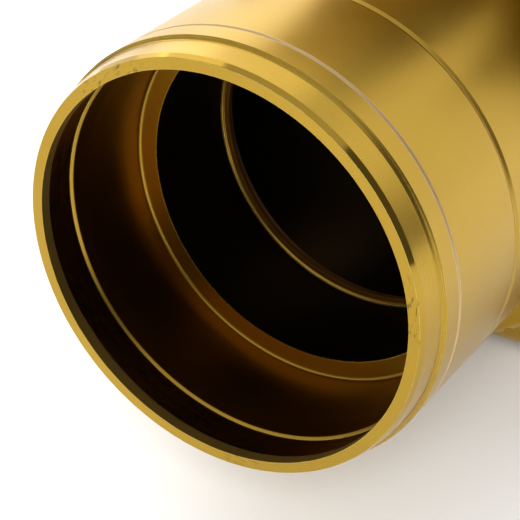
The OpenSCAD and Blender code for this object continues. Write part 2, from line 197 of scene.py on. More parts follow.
def turned(outline, axis, angles, cut_back=None):
    """Row i, column j is the outline's point i at angle j: height h, across r cos, up r sin.
    cut_back(height, radius, angle) may give a smaller radius, for flutes."""
    h, r = outline[:, :1], outline[:, 1:]
    if cut_back is not None:
        r = cut_back(h, r, angles[None, :])
    return stand(h, r * np.cos(angles), r * np.sin(angles), axis)


def evenly(count):
    """count angles, once round."""
    return np.arange(count) * 2 * np.pi / count


def fluted_angles(flutes):
    """Ten angles for each flute, crowded where the flute's edges are. Flute i is centred at
    (i + 1/2) turns / flutes."""
    inside = np.array([-0.40, -0.29, -0.25, -0.16, -0.055, 0.055, 0.16, 0.25, 0.29, 0.40])
    return ((np.arange(flutes)[:, None] + 0.5 + inside) * 2 * np.pi / flutes).reshape(-1)


def flute_radius(angle, flutes, crest_r):
    """Where a round flute's floor lies. Its centre is at c = crest_r + flute_r - flute_depth, and at
    an angle t from it the floor is at c cos t - sqrt(flute_r^2 - (c sin t)^2)."""
    t = (angle * flutes / (2 * np.pi)) % 1 - 0.5
    t = t * 2 * np.pi / flutes
    c = crest_r + flute_r - flute_depth
    inside = flute_r**2 - (c * np.sin(t)) ** 2
    floor = c * np.cos(t) - np.sqrt(np.maximum(inside, 0))
    return np.where(inside > 0, floor, np.inf)


# %% [markdown]
# The grid becomes a mesh with one four-sided face between each four neighbours. Grids of solid
# pieces, such as screws, end in a pole at both ends, which a merge closes. The piece then rides on
# its body and stands for its machined node.

# %% Grids made into pieces


def mesh_of(name, grids, marks, loop):
    """One mesh from a list of grids. Columns join the last to the first. Rows do too if loop."""
    starts = np.cumsum([0] + [g.shape[0] * g.shape[1] for g in grids])
    quads = []
    for first, g in zip(starts, grids):
        i = first + np.arange(g.shape[0] * g.shape[1]).reshape(g.shape[:2])
        up = np.roll(i, -1, 0)
        here, there = np.roll(i, -1, 1), np.roll(up, -1, 1)
        q = np.stack([i, here, there, up], -1)
        quads.append((q if loop else q[:-1]).reshape(-1, 4))
    quads = np.concatenate(quads)
    points = np.concatenate([g.reshape(-1, 3) for g in grids])
    mesh = bpy.data.meshes.new(name)
    mesh.vertices.add(len(points))
    mesh.vertices.foreach_set("co", points.astype(np.float32).reshape(-1))
    mesh.loops.add(quads.size)
    mesh.loops.foreach_set("vertex_index", quads.astype(np.int32).reshape(-1))
    mesh.polygons.add(len(quads))
    mesh.polygons.foreach_set("loop_start", np.arange(0, quads.size, 4, dtype=np.int32))
    mesh.update(calc_edges=True)
    edge = mesh.attributes.new("edge", "FLOAT", "POINT")
    edge.data.foreach_set("value", np.concatenate(marks).astype(np.float32))
    return mesh


def close_up(mesh):
    """Merges the poles, points every face outwards and shades the mesh smooth between edges."""
    work = bmesh.new()
    work.from_mesh(mesh)
    bmesh.ops.remove_doubles(work, verts=work.verts, dist=1e-7)
    bmesh.ops.dissolve_degenerate(work, edges=work.edges, dist=1e-8)
    bmesh.ops.recalc_face_normals(work, faces=work.faces)
    work.to_mesh(mesh)
    work.free()
    mesh.shade_smooth()
    mesh.set_sharp_from_angle(angle=np.radians(42))


def in_scene(name, data):
    """A new object that holds the data, linked into the scene."""
    made = bpy.data.objects.new(name, data)
    bpy.context.scene.collection.objects.link(made)
    return made


def adopt(name, mesh, node, material):
    """A piece that stands in a node's place, rides on the node's body and takes the given material."""
    made = in_scene(name, mesh)
    mesh.materials.clear()
    mesh.materials.append(material)
    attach(made, frame["nodes"][node]["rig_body"])
    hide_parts(node)
    print(name, len(mesh.polygons), "faces")
    return made


def piece(name, node, grids, marks, material, loop=True):
    """A piece from grids. marks gives each grid's row marks, 1 where the row is on a rounded edge."""
    mesh = mesh_of(name, grids, [np.repeat(m, g.shape[1]) for m, g in zip(marks, grids)], loop)
    close_up(mesh)
    return adopt(name, mesh, node, material)


def turned_piece(node, shape, axis, count, material):
    """A piece whose rounded outline is carried round an axis in that many steps."""
    outline, marks = shape
    return piece(f"{node}_turned", node, [turned(outline, axis, evenly(count))], [marks], material)


# %% [markdown]
# ## Finishes
# Each finish is a short recipe of nodes around one shader. Turned metal needs the distances along
# and from its axis: tool marks are noise that changes quickly along both and not at all round
# the axis. So the helper below builds those two distances from the object's own coordinates. A
# noise's scale is its changes in a metre: 55 gives clouds the size of a thumb, and 5200 gives marks
# of a fifth of a millimetre.

# %% Helpers for finishes


class Recipe:
    """A material with its node tree, and short ways to add and join nodes."""

    def __init__(self, name):
        self.material = bpy.data.materials.new(name)
        self.material.use_nodes = True
        self.tree = self.material.node_tree
        self.shader = self.tree.nodes["Principled BSDF"]
        self.here = self.add("ShaderNodeTexCoord").outputs["Object"]

    def add(self, kind, **settings):
        """A new node with those settings."""
        node = self.tree.nodes.new(kind)
        for key, value in settings.items():
            setattr(node, key, value)
        return node

    def join(self, source, socket):
        """Links an output to the socket, or gives the socket a constant."""
        if hasattr(source, "is_output"):
            self.tree.links.new(source, socket)
        else:
            socket.default_value = source

    def math(self, operation, a, b=0.0):
        """One sum with two numbers, or with the first alone."""
        node = self.add("ShaderNodeMath", operation=operation)
        self.join(a, node.inputs[0])
        self.join(b, node.inputs[1])
        return node.outputs[0]

    def times(self, a, b):
        """a multiplied by b."""
        return self.math("MULTIPLY", a, b)

    def plus(self, a, b):
        """a and b together."""
        return self.math("ADD", a, b)

    def between(self, value, low, high, to_low=0.0, to_high=1.0):
        """value carried from the range low..high to to_low..to_high, and held at its ends."""
        node = self.add("ShaderNodeMapRange")
        self.join(value, node.inputs["Value"])
        for key, number in zip(("From Min", "From Max", "To Min", "To Max"),
                               (low, high, to_low, to_high)):
            node.inputs[key].default_value = number
        return node.outputs["Result"]

    def above(self, value, edge, soft):
        """0 where value is under the edge, rising to 1 over the soft distance past it."""
        return self.between(value, edge, edge + soft)

    def below(self, value, edge, soft):
        """1 where value is under the edge, falling to 0 over the soft distance past it."""
        return self.between(value, edge, edge + soft, 1, 0)

    def noise(self, vector, scale, detail, roughness):
        """A cloudy pattern of about that many changes a metre, from 0 to 1."""
        node = self.add("ShaderNodeTexNoise")
        self.join(vector, node.inputs["Vector"])
        for key, number in (("Scale", scale), ("Detail", detail), ("Roughness", roughness)):
            node.inputs[key].default_value = number
        return node.outputs["Fac"]

    def mix(self, share, a, b):
        """Colour a where share is 0, and b where it is 1."""
        node = self.add("ShaderNodeMix", data_type="RGBA")
        self.join(share, node.inputs["Factor"])
        for colour, socket in ((a, node.inputs[6]), (b, node.inputs[7])):
            self.join(colour if hasattr(colour, "is_output") else (*colour, 1.0), socket)
        return node.outputs[2]

    def bump(self, height, depth, strength):
        """Small bumps: a height from 0 to 1, and its depth in metres."""
        node = self.add("ShaderNodeBump")
        node.inputs["Strength"].default_value = strength
        node.inputs["Distance"].default_value = depth
        self.join(height, node.inputs["Height"])
        return node.outputs["Normal"]

    def turned_places(self, axis):
        """Distance along the axis, distance from it, and both joined as a vector. The distance round
        the axis is kept as arc."""
        origin, along, side = axis
        centred = self.add("ShaderNodeVectorMath", operation="SUBTRACT")
        self.join(self.here, centred.inputs[0])
        centred.inputs[1].default_value = tuple(origin)
        spread = centred.outputs[0]
        lengths = []
        for direction in (along, side, np.cross(along, side)):
            dot = self.add("ShaderNodeVectorMath", operation="DOT_PRODUCT")
            self.join(spread, dot.inputs[0])
            dot.inputs[1].default_value = tuple(direction)
            lengths.append(dot.outputs["Value"])
        squares = [self.times(v, v) for v in lengths[1:]]
        radius = self.math("SQRT", self.plus(*squares))
        self.arc = self.times(self.math("ARCTAN2", *lengths[1:]), radius)
        both = self.add("ShaderNodeCombineXYZ")
        self.join(lengths[0], both.inputs[0])
        self.join(radius, both.inputs[1])
        return lengths[0], radius, both.outputs[0]

    def dyed_gold(self, rings, rough):
        """Colour and roughness of gold anodising, and the height of its turning marks. Clouds of dye
        are a slow noise, tool marks a fast one along rings, and worn edges are paler and smoother."""
        clouds = self.noise(self.here, 55, 4, 0.6)
        colour = self.mix(self.between(clouds, 0.32, 0.68), DEEP_GOLD, GOLD)
        marks = self.noise(rings, 5200, 2, 0.5)
        colour = self.mix(self.between(marks, 0.35, 0.75, 0.0, 0.10), colour, PALE_GOLD)
        rub = self.between(self.noise(self.here, 700, 3, 0.7), 0.35, 0.6)
        rub = self.times(self.worn(), rub)
        colour = self.mix(self.times(rub, 0.6), colour, PALE_GOLD)
        smooth = self.between(clouds, 0.3, 0.7, rough - 0.03, rough + 0.05)
        rougher = self.between(marks, 0.3, 0.8, 0.0, 0.04)
        roughness = self.math("SUBTRACT", self.plus(smooth, rougher), self.times(rub, 0.08))
        return colour, roughness, marks

    def worn(self):
        """1 on rounded edges and 0 on flats, from the piece's own mark."""
        return self.add("ShaderNodeAttribute", attribute_name="edge").outputs["Fac"]

    def set(self, **values):
        """Gives the shader's inputs their values and returns the finished material."""
        for key, value in values.items():
            self.join(value, self.shader.inputs[key.replace("_", " ")])
        return self.material

    def metal(self, colour, roughness, height, depth=0.002 * mm, strength=0.4):
        """The finished material as a metal with small bumps, which are tool marks by default."""
        return self.set(Base_Color=colour, Metallic=1.0, Roughness=roughness,
                        Normal=self.bump(height, depth, strength))


# %% [markdown]
# Gold anodising is a clear dyed layer of oxide on turned aluminium. The metal under it is bright,
# so the colour is the metal's reflection, warm. The surface shows fine rings from the lathe,
# faint cloudy changes of the dye, and paler rims where handling has polished the layer. In the
# bores, in the undercut and on the ledge the gold is painted darker as painted shade, and behind the
# ledge the light path is black against stray light. The last three colours belong to single places:
# the rim's nicks, a painted highlight in one fine groove and painted shade on the stop's lip.

# %% Colours of the gold
GOLD = (0.475, 0.298, 0.040)
DEEP_GOLD = (0.425, 0.260, 0.031)
PALE_GOLD = (0.66, 0.48, 0.14)
# Painted shade: the darker golds of the ledge's face and of the bore.
LEDGE_PAINTED_SHADE = (0.40, 0.25, 0.022)
BORE_PAINTED_SHADE = (0.30, 0.13, 0.012)
BORE_BLACK = (0.030, 0.019, 0.008)
CHIPPED = (0.13, 0.08, 0.018)
# Painted highlight: the fine groove's pale colour. Painted shade: the stop lip's brown.
GROOVE_PAINTED_HIGHLIGHT = (0.72, 0.54, 0.30)
STOP_LIP_PAINTED_SHADE = (0.34, 0.15, 0.016)

# %% [markdown]
# Black anodising is the same layer dyed black. It scatters a little light, so it is a dark
# dielectric over metal with a soft sheen. Blackened steel, bright steel and bare aluminium follow
# the same pattern with their own colours and grain.

# %% Other metals


def plain_metal(name, low, high, rough, metallic=1.0, grain=900, depth=0.0008, rubbed=None):
    """Metal with a colour between low and high, and a grain of that scale and depth in mm."""
    r = Recipe(name)
    clouds = r.noise(r.here, 90, 4, 0.6)
    colour = r.mix(r.between(clouds, 0.3, 0.7), low, high)
    fine = r.noise(r.here, grain, 3, 0.6)
    if rubbed is not None:
        rub = r.times(r.worn(), r.between(r.noise(r.here, 800, 3, 0.7), 0.4, 0.62))
        colour = r.mix(r.times(rub, 0.8), colour, rubbed)
    roughness = r.between(fine, 0.25, 0.75, rough - 0.05, rough + 0.07)
    return r.set(Base_Color=colour, Metallic=metallic, Roughness=roughness,
                 Normal=r.bump(fine, depth * mm, 0.6))


black_anodised = plain_metal("black_anodised", (0.012, 0.012, 0.014), (0.022, 0.022, 0.025), 0.36,
                             metallic=0.0, grain=1400, rubbed=(0.16, 0.16, 0.17))
bright_steel = plain_metal("bright_steel", (0.55, 0.54, 0.52), (0.66, 0.65, 0.62), 0.22)
black_steel = plain_metal("black_steel", (0.03, 0.03, 0.033), (0.055, 0.053, 0.05), 0.38)
bare_aluminium = plain_metal("bare_aluminium", (0.68, 0.68, 0.69), (0.78, 0.78, 0.79), 0.33)

# %% [markdown]
# ## The barrel's mouth
# The end ring is the part that is seen first. From its rim it has a narrow polished bevel, a land
# below the barrel's surface that widens slightly, and a small cove that rises to a crisp step where
# the barrel begins. Inside, a short lip stands in front of a wider bore. Its threaded neck is hidden
# in the barrel's pocket, and takes a share of the wall there.

# %% End ring
land_r = barrel_r - 0.75 * mm
land_l = 3.8 * mm
bevel_l = 0.7 * mm
bevel_rise = 0.26 * mm
land_end_r = land_r + 0.3 * mm
cove_r = 0.5 * mm
lip_l = 1.35 * mm
relief_r = land_r - 0.75 * mm
neck_share = 0.42
pocket_r = relief_r + neck_share * (barrel_r - relief_r)
ring_l = ring_end_x - mouth_x


def cove(steps=6):
    """Points of the cove: an arc of cove_r that leaves the land level and stops at the step,
    land's end + cove_r (1 - cos a) at land_l - cove_r (sin of the last angle - sin a)."""
    last = np.arccos(1 - (step_r - land_end_r) / cove_r)
    a = np.linspace(0, last, steps + 1)
    return np.stack([land_l - cove_r * (np.sin(last) - np.sin(a)),
                     land_end_r + cove_r * (1 - np.cos(a))], 1)


from_mouth = (np.array([mouth_x, 0, 0]), *ALONG_BARREL[1:])
ring_corners = np.concatenate([
    [[0, mouth_r], [0, land_r - bevel_rise], [bevel_l, land_r]], cove(),
    [[land_l, pocket_r - fit], [ring_l, pocket_r - fit], [ring_l, relief_r],
     [lip_l + relief_r - mouth_r, relief_r], [lip_l, mouth_r]]])
ring_radii = np.full(len(ring_corners), 0.08 * mm)
ring_radii[0] = 0.03 * mm
ring_radii[1:3] = 0.04 * mm
ring_shape = rounded(ring_corners, ring_radii, 4, 0.05 * mm)

# %% [markdown]
# The rim is the place that gets knocked: it has a few small dark nicks where the dyed layer has
# chipped, in clusters where it met something hard. The clusters are round regions about chosen
# points of the rim, and the nicks are the peaks of a fine noise inside them. The bevel
# was polished after turning, so it mirrors sharply.

# %% Gold of the end ring
nick_circle_r = 23.9 * mm
nick_clusters = [(52, 3.4 * mm), (64, 2.6 * mm), (168, 3.0 * mm), (176, 2.2 * mm), (262, 3.2 * mm)]


def nicked_rim(r, along, radius, colour, roughness):
    """Dark nicks on the rim's face: peaks of a noise drawn out along the rim, inside the clusters
    and on the first tenth of a millimetre. A cluster fades out over the outer part of its reach."""
    near = 0.0
    for degrees, reach in nick_clusters:
        turn = np.radians(degrees)
        place = (mouth_x, nick_circle_r * np.cos(turn), nick_circle_r * np.sin(turn))
        distance = r.add("ShaderNodeVectorMath", operation="DISTANCE")
        r.join(r.here, distance.inputs[0])
        distance.inputs[1].default_value = place
        near = r.math("MAXIMUM", near, r.below(distance.outputs["Value"], 0.4 * reach, 0.6 * reach))
    stretched = r.add("ShaderNodeCombineXYZ")
    r.join(radius, stretched.inputs[0])
    r.join(r.times(r.arc, 0.3), stretched.inputs[1])
    peaks = r.between(r.noise(stretched.outputs[0], 2600, 4, 0.65), 0.54, 0.68)
    on_face = r.below(along, mouth_x + 0.08 * mm, 0.08 * mm)
    nick = r.times(r.times(near, peaks), on_face)
    colour = r.mix(r.times(nick, 0.8), colour, CHIPPED)
    return colour, r.plus(roughness, r.times(nick, 0.3))


def end_ring_finish():
    """Turned gold: polished bevel, rougher lip paled as painted light, painted shade in the undercut,
    nicked rim.
    """
    r = Recipe("gold_end_ring")
    along, radius, rings = r.turned_places(ALONG_BARREL)
    colour, roughness, marks = r.dyed_gold(rings, 0.24)
    on_bevel = r.times(r.below(along, mouth_x + bevel_l - 0.05 * mm, 0.05 * mm),
                       r.above(radius, land_r - bevel_rise, 0.03 * mm))
    roughness = r.math("SUBTRACT", roughness, r.times(on_bevel, 0.17))
    # Painted shade: the undercut behind the lip is mixed toward the dark bore colour.
    hidden = r.times(r.below(radius, relief_r + 0.02 * mm, 0.03 * mm),
                     r.above(along, mouth_x + lip_l, 0.2 * mm))
    colour = r.mix(hidden, colour, BORE_PAINTED_SHADE)
    # Painted light: the lip's face is mixed toward pale gold, and it is also made rougher.
    lip_with_painted_light = r.times(r.below(radius, mouth_r + 0.02 * mm, 0.04 * mm),
                     r.above(along, mouth_x + 0.02 * mm, 0.04 * mm))
    roughness = r.plus(roughness, r.times(lip_with_painted_light, 0.22))
    colour = r.mix(r.times(lip_with_painted_light, 0.6), colour, PALE_GOLD)
    colour, roughness = nicked_rim(r, along, radius, colour, roughness)
    return r.metal(colour, roughness, marks)


turned_piece("end_ring", ring_shape, from_mouth, 512, end_ring_finish())

# %% [markdown]
# The barrel is a tube with a knurled shoulder. Two fine grooves run round the outside. Inside, a
# chamfer leads into the bore, and the bore ends at a ledge with a small fillet, which gathers the
# light into a bright line. Seventy-two flutes give the fingers a grip on the shoulder.

# %% Barrel
_, shoulder_x1, _, shoulder_r = spans("barrel", ALONG_BARREL)
port_x0, port_x1, port_bore_r, port_r = spans("port_ring", ALONG_BARREL)
shoulder_flutes = 72
front_groove_l, front_groove_w = 6.8 * mm, 0.5 * mm
rear_groove_l, rear_groove_w = 20.3 * mm, 1.0 * mm
groove_depth = 0.16 * mm
barrel_bore_r = port_r + fit
ledge_r = port_bore_r + fit
ledge_l = 19 * mm
ledge_fillet = 0.45 * mm


def groove(centre, width):
    """The three points of a fine groove, counted from the mouth."""
    return [[centre - width / 2, barrel_r], [centre, barrel_r - groove_depth],
            [centre + width / 2, barrel_r]]


def fillet(reach=ledge_fillet, steps=6):
    """A quarter circle from the ledge's face to the bore: bore radius - reach (1 - sin a), at
    ledge - reach (1 - cos a)."""
    a = np.linspace(0, np.pi / 2, steps + 1)
    return np.stack([ledge_l - reach * (1 - np.cos(a)), barrel_bore_r - reach * (1 - np.sin(a))], 1)


def shoulder_flute(height, radius, angle):
    """Cuts the flutes into the shoulder, and leaves the tube in front of it alone."""
    floor = flute_radius(angle, shoulder_flutes, shoulder_r)
    return np.where(height >= -mouth_x - 1e-6, np.minimum(radius, floor), radius + 0 * angle)


seat, rear, chamfer = -mouth_x, shoulder_x1 - mouth_x, 0.6 * mm
step_edge = 0.16 * mm
throat_l, throat_r = ring_l + 0.1 * mm, barrel_bore_r + 0.15 * mm
throat_end_l, throat_chamfer = 8.9 * mm, 0.3 * mm
port_seat = port_x0 - mouth_x - slip
barrel_corners = np.concatenate([
    [[land_l, pocket_r], [land_l, step_r], [land_l + step_edge, barrel_r]],
    groove(front_groove_l, front_groove_w), groove(rear_groove_l, rear_groove_w),
    [[seat, barrel_r], [seat, shoulder_r - chamfer], [seat + chamfer, shoulder_r],
     [rear - chamfer, shoulder_r], [rear, shoulder_r - chamfer], [rear, barrel_bore_r],
     [port_seat, barrel_bore_r], [port_seat, ledge_r], [ledge_l, ledge_r]],
    fillet(),
    [[throat_end_l, barrel_bore_r], [throat_l + throat_chamfer, throat_r],
     [throat_l, throat_r + throat_chamfer], [throat_l, pocket_r]]])
barrel_outline, barrel_marks = rounded(barrel_corners, 0.05 * mm, 2)

# %% [markdown]
# The bore behind the ledge is blackened against stray light. The bore before it and the ledge's face
# get painted shade, a deep brown and a darker gold. So this finish looks at both distances: how far in,
# and how far from the axis. The groove near the mouth gets a painted highlight, a pale colour, and is
# duller.

# %% Gold of the barrel


def barrel_finish():
    """Turned gold outside, a painted highlight in one groove, painted shade in bore and ledge, black
    beyond."""
    r = Recipe("gold_barrel")
    along, radius, rings = r.turned_places(ALONG_BARREL)
    colour, roughness, marks = r.dyed_gold(rings, 0.30)
    # Painted shade: the bore in front of the ledge is mixed toward a deep brown.
    bore = r.below(radius, barrel_bore_r + 0.18 * mm, 0.06 * mm)
    wall = r.above(radius, barrel_bore_r - 0.06 * mm, 0.04 * mm)
    colour = r.mix(r.times(bore, wall), colour, BORE_PAINTED_SHADE)
    # Painted shade: the ledge's face is a darker gold.
    ledge = r.below(radius, barrel_bore_r - 0.5 * mm, 0.1 * mm)
    colour = r.mix(ledge, colour, LEDGE_PAINTED_SHADE)
    throat = r.below(radius, ledge_r + 0.02 * mm, 0.03 * mm)
    deep = r.above(along, mouth_x + ledge_l + 0.05 * mm, 0.05 * mm)
    black = r.times(throat, deep)
    colour = r.mix(black, colour, BORE_BLACK)
    roughness = r.plus(roughness, r.times(black, 0.15))
    # Painted highlight: the fine groove near the mouth is mixed toward a pale colour; it is also made
    # rougher.
    groove_with_painted_highlight = r.times(r.above(along, mouth_x + front_groove_l - 0.3 * mm, 0.05 * mm),
                        r.below(along, mouth_x + front_groove_l + 0.25 * mm, 0.05 * mm))
    groove_with_painted_highlight = r.times(groove_with_painted_highlight, r.above(radius, barrel_r - 0.5 * mm, 0.1 * mm))
    colour = r.mix(groove_with_painted_highlight, colour, GROOVE_PAINTED_HIGHLIGHT)
    roughness = r.plus(roughness, r.times(groove_with_painted_highlight, 0.3))
    return r.metal(colour, roughness, marks)


barrel_grid = turned(barrel_outline, from_mouth, fluted_angles(shoulder_flutes), shoulder_flute)
barrel_piece = piece("barrel_turned", "barrel", [barrel_grid], [barrel_marks], barrel_finish())

# %% [markdown]
# Grub screws go through the shoulder, and clamp screws through the socket. A grid has no holes, so a
# Boolean cuts them: the cutter is a plain tube of the screw's size, along its axis. It is applied at
# once, and normals weighted by face area keep the long faces round the hole evenly shaded.

# %% Holes cut with a Boolean
grub_hole_r = 1.52 * mm
clamp_hole_r = 2.05 * mm
cutter_sides = 48


def apply_modifiers(made):
    """Puts the finished shape of the object's modifiers into its own mesh."""
    evaluated = made.evaluated_get(bpy.context.evaluated_depsgraph_get())
    mesh = bpy.data.meshes.new_from_object(evaluated)
    old, made.data = made.data, mesh
    made.modifiers.clear()
    bpy.data.meshes.remove(old)


def shade_evenly(made):
    """Weights the normals by face area, so that the small faces of an edge don't tilt a flat."""
    even = made.modifiers.new("even shading", "WEIGHTED_NORMAL")
    even.keep_sharp = True
    apply_modifiers(made)


def screw_axis(points, outward):
    """Axis of a screw that points out of the metal. Its origin is the middle of the outer end. Also
    the screw's length."""
    along = unit(np.asarray(outward, float))
    helper = np.array([0, 0, 1.0]) if abs(along[2]) < 0.9 else np.array([1.0, 0, 0])
    side = unit(np.cross(helper, along))
    other = np.cross(along, side)
    middle = sum((points @ d).min() * d / 2 + (points @ d).max() * d / 2 for d in (side, other))
    return (middle + (points @ along).max() * along, along, side), np.ptp(points @ along)


def drill(made, holes):
    """Cuts round holes: each is an axis, a lowest and a highest height along it, and a radius."""
    work = bmesh.new()
    for axis, low, high, radius in holes:
        shape = np.array([[low, 0], [low, radius], [high, radius], [high, 0]])
        rows = turned(shape, axis, evenly(cutter_sides))
        ends = [[work.verts.new(p) for p in row] for row in rows[1:3]]
        work.faces.new(ends[0])
        work.faces.new(ends[1][::-1])
        for k in range(cutter_sides):
            work.faces.new((ends[0][k - 1], ends[0][k], ends[1][k], ends[1][k - 1]))
    bmesh.ops.recalc_face_normals(work, faces=work.faces)
    mesh = bpy.data.meshes.new("cutter")
    work.to_mesh(mesh)
    work.free()
    cutter = in_scene("cutter", mesh)
    cut = made.modifiers.new("holes", "BOOLEAN")
    cut.operation, cut.solver, cut.object = "DIFFERENCE", "EXACT", cutter
    apply_modifiers(made)
    bpy.data.objects.remove(cutter)
    bpy.data.meshes.remove(mesh)
    made.data.set_sharp_from_angle(angle=np.radians(38))
    shade_evenly(made)
    print(made.name, "with", len(holes), "holes:", len(made.data.polygons), "faces")


def radial(points, axis):
    """Direction from an axis to the middle of some points, straight out."""
    out = points.mean(0) - axis[0]
    return unit(out - (out @ axis[1]) * axis[1])


barrel_grubs = [screw_axis(p, radial(p, ALONG_BARREL)) for p in solids("barrel_grub_screws")]
drill(barrel_piece, [(axis, -length - 1.2 * mm, 4 * mm, grub_hole_r) for axis, length in barrel_grubs])

# %% [markdown]
# Deep in the barrel the port ring begins. A stop ring with a dished face is pressed into its front
# end, and sets the clear aperture. Its dish catches a bright line, and beyond it all is black.

# %% Port ring and glare stop


def bored_gold(name, axis, rough, bore_r, soft, bore_colour, share=1.0):
    """Turned gold. Nearer to the axis than bore_r it takes a share of bore_colour: black or painted
    shade.
    """
    r = Recipe(name)
    _, radius, rings = r.turned_places(axis)
    colour, roughness, marks = r.dyed_gold(rings, rough)
    colour = r.mix(r.times(r.below(radius, bore_r, soft), share), colour, bore_colour)
    return r.metal(colour, roughness, marks)


port_shape = rounded(
    [[port_x0, port_bore_r], [port_x0, port_r], [port_x1, port_r], [port_x1, port_bore_r]],
    [0.14 * mm, 0.25 * mm, 0.25 * mm, 0.1 * mm], 5)
turned_piece("port_ring", port_shape, ALONG_BARREL, 384,
             bored_gold("gold_port_ring", ALONG_BARREL, 0.28, port_bore_r + 0.03 * mm, 0.06 * mm,
                        BORE_BLACK))
stop_x0, stop_x1, stop_r, stop_out_r = spans("glare_stop", ALONG_BARREL)
dish, stop_lip_t = 0.25 * mm, 0.6 * mm
stop_shape = rounded(
    [[stop_x0 + dish, stop_r], [stop_x0 + dish, stop_out_r - dish], [stop_x0, stop_out_r],
     [stop_x1, stop_out_r], [stop_x1, stop_r + 0.65 * mm], [stop_x0 + dish + stop_lip_t, stop_r]],
    0.04 * mm, 3)


def stop_finish():
    """The dish is bright turned gold, and the flat lip inside it is duller, with painted shade in a
    browner colour.
    """
    r = Recipe("gold_glare_stop")
    _, radius, rings = r.turned_places(ALONG_BARREL)
    colour, roughness, marks = r.dyed_gold(rings, 0.28)
    # Painted shade: the flat lip is mixed toward a brown, and it is also made rougher.
    lip = r.below(radius, stop_out_r - dish - 0.04 * mm, 0.04 * mm)
    colour = r.mix(lip, colour, STOP_LIP_PAINTED_SHADE)
    roughness = r.plus(roughness, r.times(lip, 0.35))
    return r.metal(colour, roughness, marks, 0.001 * mm, 0.3)


turned_piece("glare_stop", stop_shape, ALONG_BARREL, 384, stop_finish())

# %% [markdown]
# ## The eyepiece socket
# The socket is turned like the barrel, but about its own upright axis: a wider foot, a tall wall with
# two fine lines, a chamfered mouth, and inside it the groove for the clamping ring. Heights
# are counted from the block's top face. Nearer the axis than the bore, the gold is mixed toward a deep
# brown as painted shade. Holes for two clamp screws and three grub screws are drilled through it.

# %% Eyepiece socket
socket_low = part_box("eyepiece_socket")[0][2]
socket_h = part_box("eyepiece_socket")[1][2] - socket_low
on_block = (UP_SOCKET[0] + [0, 0, socket_low], *UP_SOCKET[1:])
foot_r = spans("eyepiece_socket", UP_SOCKET)[3]
socket_r = foot_r - 1.6 * mm
socket_bore_r = mounts["eyepiece_bore"]["dims"]["r_mm"] * mm
neck_r = spans("socket_neck", UP_SOCKET)[3]
socket_stop_r = spans("eyepiece_socket", UP_SOCKET)[2]
clamp_low, clamp_high = (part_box("clamp_ring")[k][2] - socket_low for k in (0, 1))
clamp_mid = (clamp_low + clamp_high) / 2
ring_in, ring_out = spans("clamp_ring", UP_SOCKET)[2:]
ring_groove_r = ring_out + slip
foot_h, inner_foot, socket_floor = 4 * mm, 4.5 * mm, 6 * mm
foot_edge, foot_chamfer, mouth_chamfer, bore_chamfer = 0.4 * mm, 0.6 * mm, 1.2 * mm, 0.8 * mm
low_line, high_line = foot_h + 3.5 * mm, clamp_mid - 7 * mm


def line_groove(height, depth=0.2 * mm):
    """The three points of a fine turned line, counted from the block's top."""
    return [[height - depth, socket_r], [height, socket_r - depth], [height + depth, socket_r]]


socket_corners = np.concatenate([
    [[0, neck_r + fit], [0, foot_r - foot_edge], [foot_edge, foot_r], [foot_h - foot_chamfer, foot_r],
     [foot_h, foot_r - foot_chamfer], [foot_h, socket_r]],
    line_groove(low_line), line_groove(high_line),
    [[socket_h - mouth_chamfer, socket_r], [socket_h, socket_r - mouth_chamfer],
     [socket_h, socket_bore_r + bore_chamfer], [socket_h - bore_chamfer, socket_bore_r],
     [clamp_high + slip, socket_bore_r], [clamp_high + slip, ring_groove_r],
     [clamp_low - slip, ring_groove_r], [clamp_low - slip, socket_bore_r],
     [socket_floor, socket_bore_r], [socket_floor, socket_stop_r], [inner_foot, socket_stop_r],
     [inner_foot, neck_r + fit]]])
# Painted shade: the socket's insides nearer the axis than the bore are mixed part way toward the dark
# brown.
socket_gold = bored_gold("gold_socket", UP_SOCKET, 0.30, socket_bore_r - 0.3 * mm, 0.32 * mm,
                         BORE_PAINTED_SHADE, 0.6)
socket_piece = turned_piece("eyepiece_socket", rounded(socket_corners, 0.09 * mm, 2), on_block, 288,
                            socket_gold)


def clamp_axis(number):
    """Axis of a clamp screw: it points straight out through the socket's wall."""
    points = places(f"clamp_screw_{number}")
    out = radial(points, UP_SOCKET)
    centre = on_block[0] + clamp_mid * on_block[1]
    return (centre, out, np.array([0, 0, -1.0]))


clamp_axes = {n: clamp_axis(n) for n in (1, 2)}
socket_grubs = [screw_axis(p, radial(p, UP_SOCKET)) for p in solids("socket_grub_screws")]
drill(socket_piece,
      [(axis, socket_bore_r + 0.2 * mm, foot_r + mm, clamp_hole_r) for axis in clamp_axes.values()]
      + [(axis, -length - mm, 3 * mm, grub_hole_r) for axis, length in socket_grubs])

# %% [markdown]
# The clamping ring is a strip of brass bent round, with a gap so that it can close on an eyepiece's
# barrel. It is the strip's outline carried along an arc that stops short of a full turn, and its two
# ends are closed with flat faces.

# %% Clamping ring
clamp_gap = 4 * mm
strip_outline, strip_marks = rounded(
    [[clamp_low, ring_in], [clamp_low, ring_out], [clamp_high, ring_out], [clamp_high, ring_in]],
    0.22 * mm, 3)
half_gap = np.arcsin(clamp_gap / 2 / ring_out)
strip_angles = np.linspace(-np.pi + half_gap, np.pi - half_gap, 220)
strip = turned(strip_outline, on_block, strip_angles)


